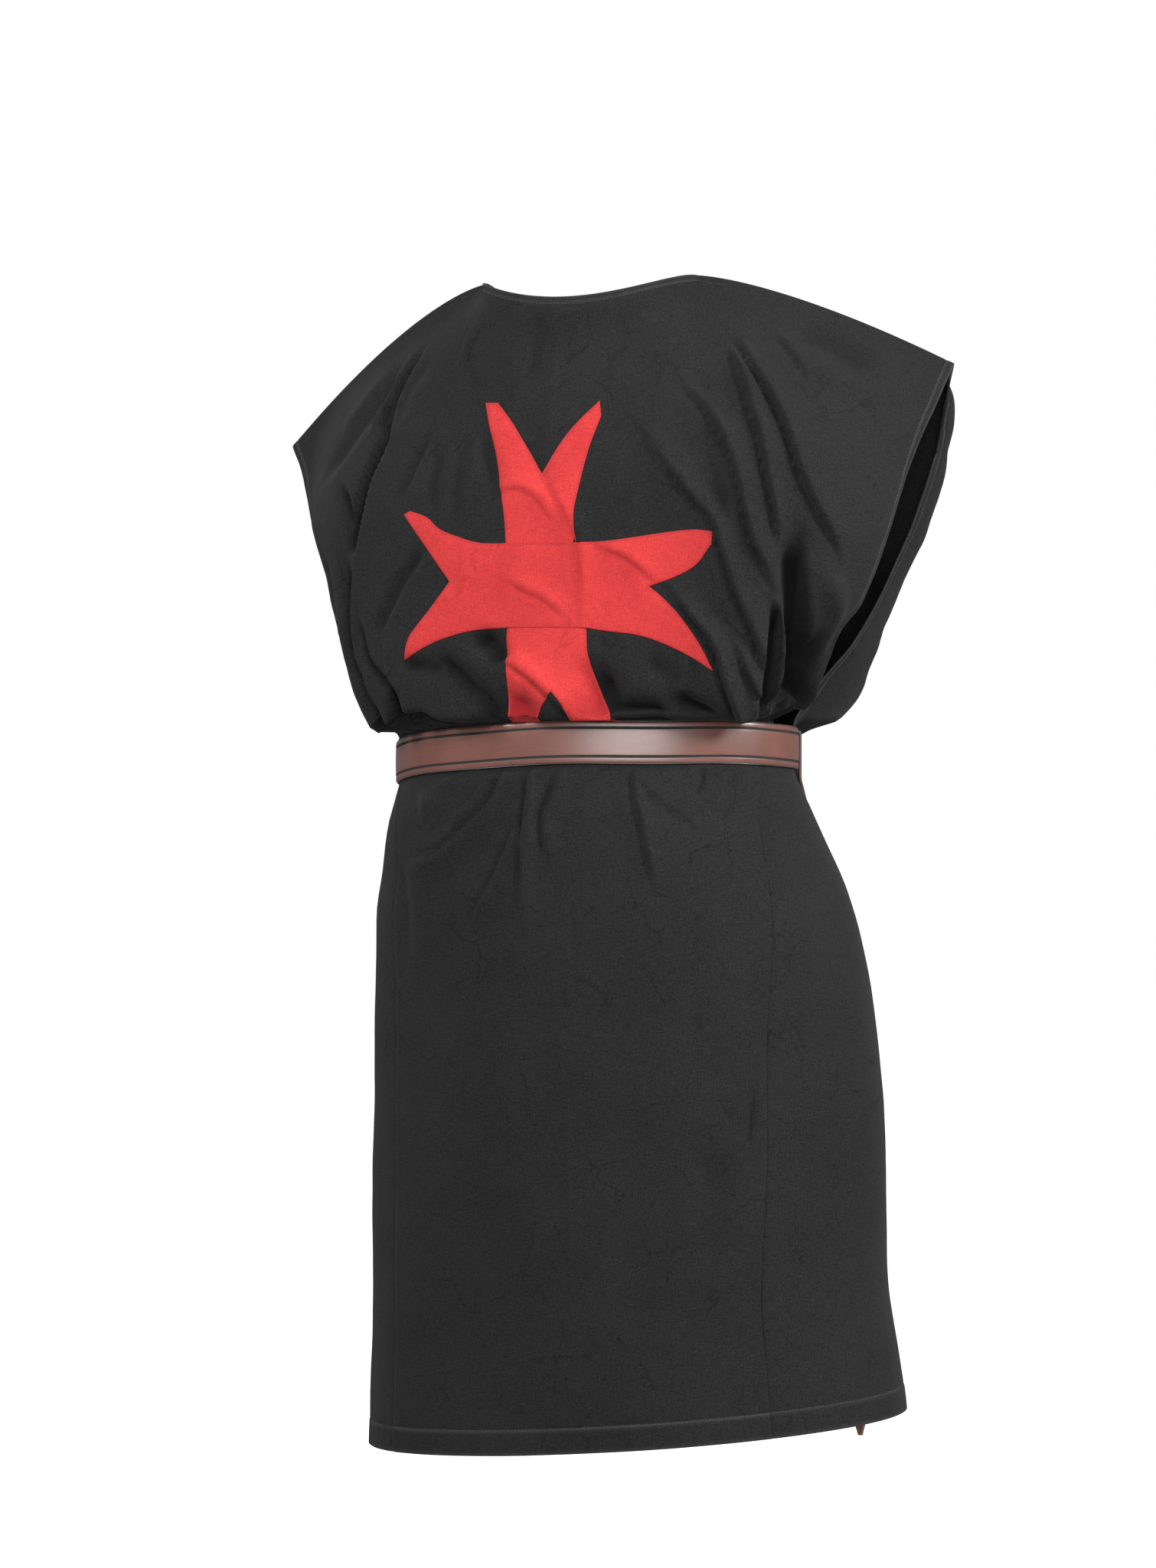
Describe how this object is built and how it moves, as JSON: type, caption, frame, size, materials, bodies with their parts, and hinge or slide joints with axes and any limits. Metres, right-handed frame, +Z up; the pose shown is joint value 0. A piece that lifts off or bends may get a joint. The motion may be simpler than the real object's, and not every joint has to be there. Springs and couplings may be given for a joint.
{
  "type": "medieval surcoat",
  "caption": "Sleeveless black cotton surcoat with a red swallow-tailed cross on its back, worn and drawn in at the waist by a brown leather belt with a brass buckle and a long hanging end",
  "frame": {"origin": "the middle of the neck opening, at the height where the cloth rests on the wearer's shoulders", "axes": "+Z up the wearer, -Y out of the wearer's front, +Y out of the back, +X to the wearer's left"},
  "size_m": [0.6695, 0.3318, 1.0989],
  "materials": {
    "black_cotton": "matte plain-weave cotton, washed",
    "red_cotton": "matte, loosely woven cotton, sewn on",
    "brown_leather": "semi-gloss, two dark tooled lines",
    "antique_brass": "dull, worn"
  },
  "bodies": {
    "root": {"front_panel": "black_cotton", "back_panel": "black_cotton", "gore_left": "black_cotton", "gore_right": "black_cotton", "cross_upright": "red_cotton", "cross_bar": "red_cotton", "belt_strap": "brown_leather", "belt_tongue": "brown_leather", "belt_tail": "brown_leather", "belt_keeper": "brown_leather", "buckle_frame": "antique_brass", "buckle_prong": "antique_brass"}
  },
  "joints": []
}
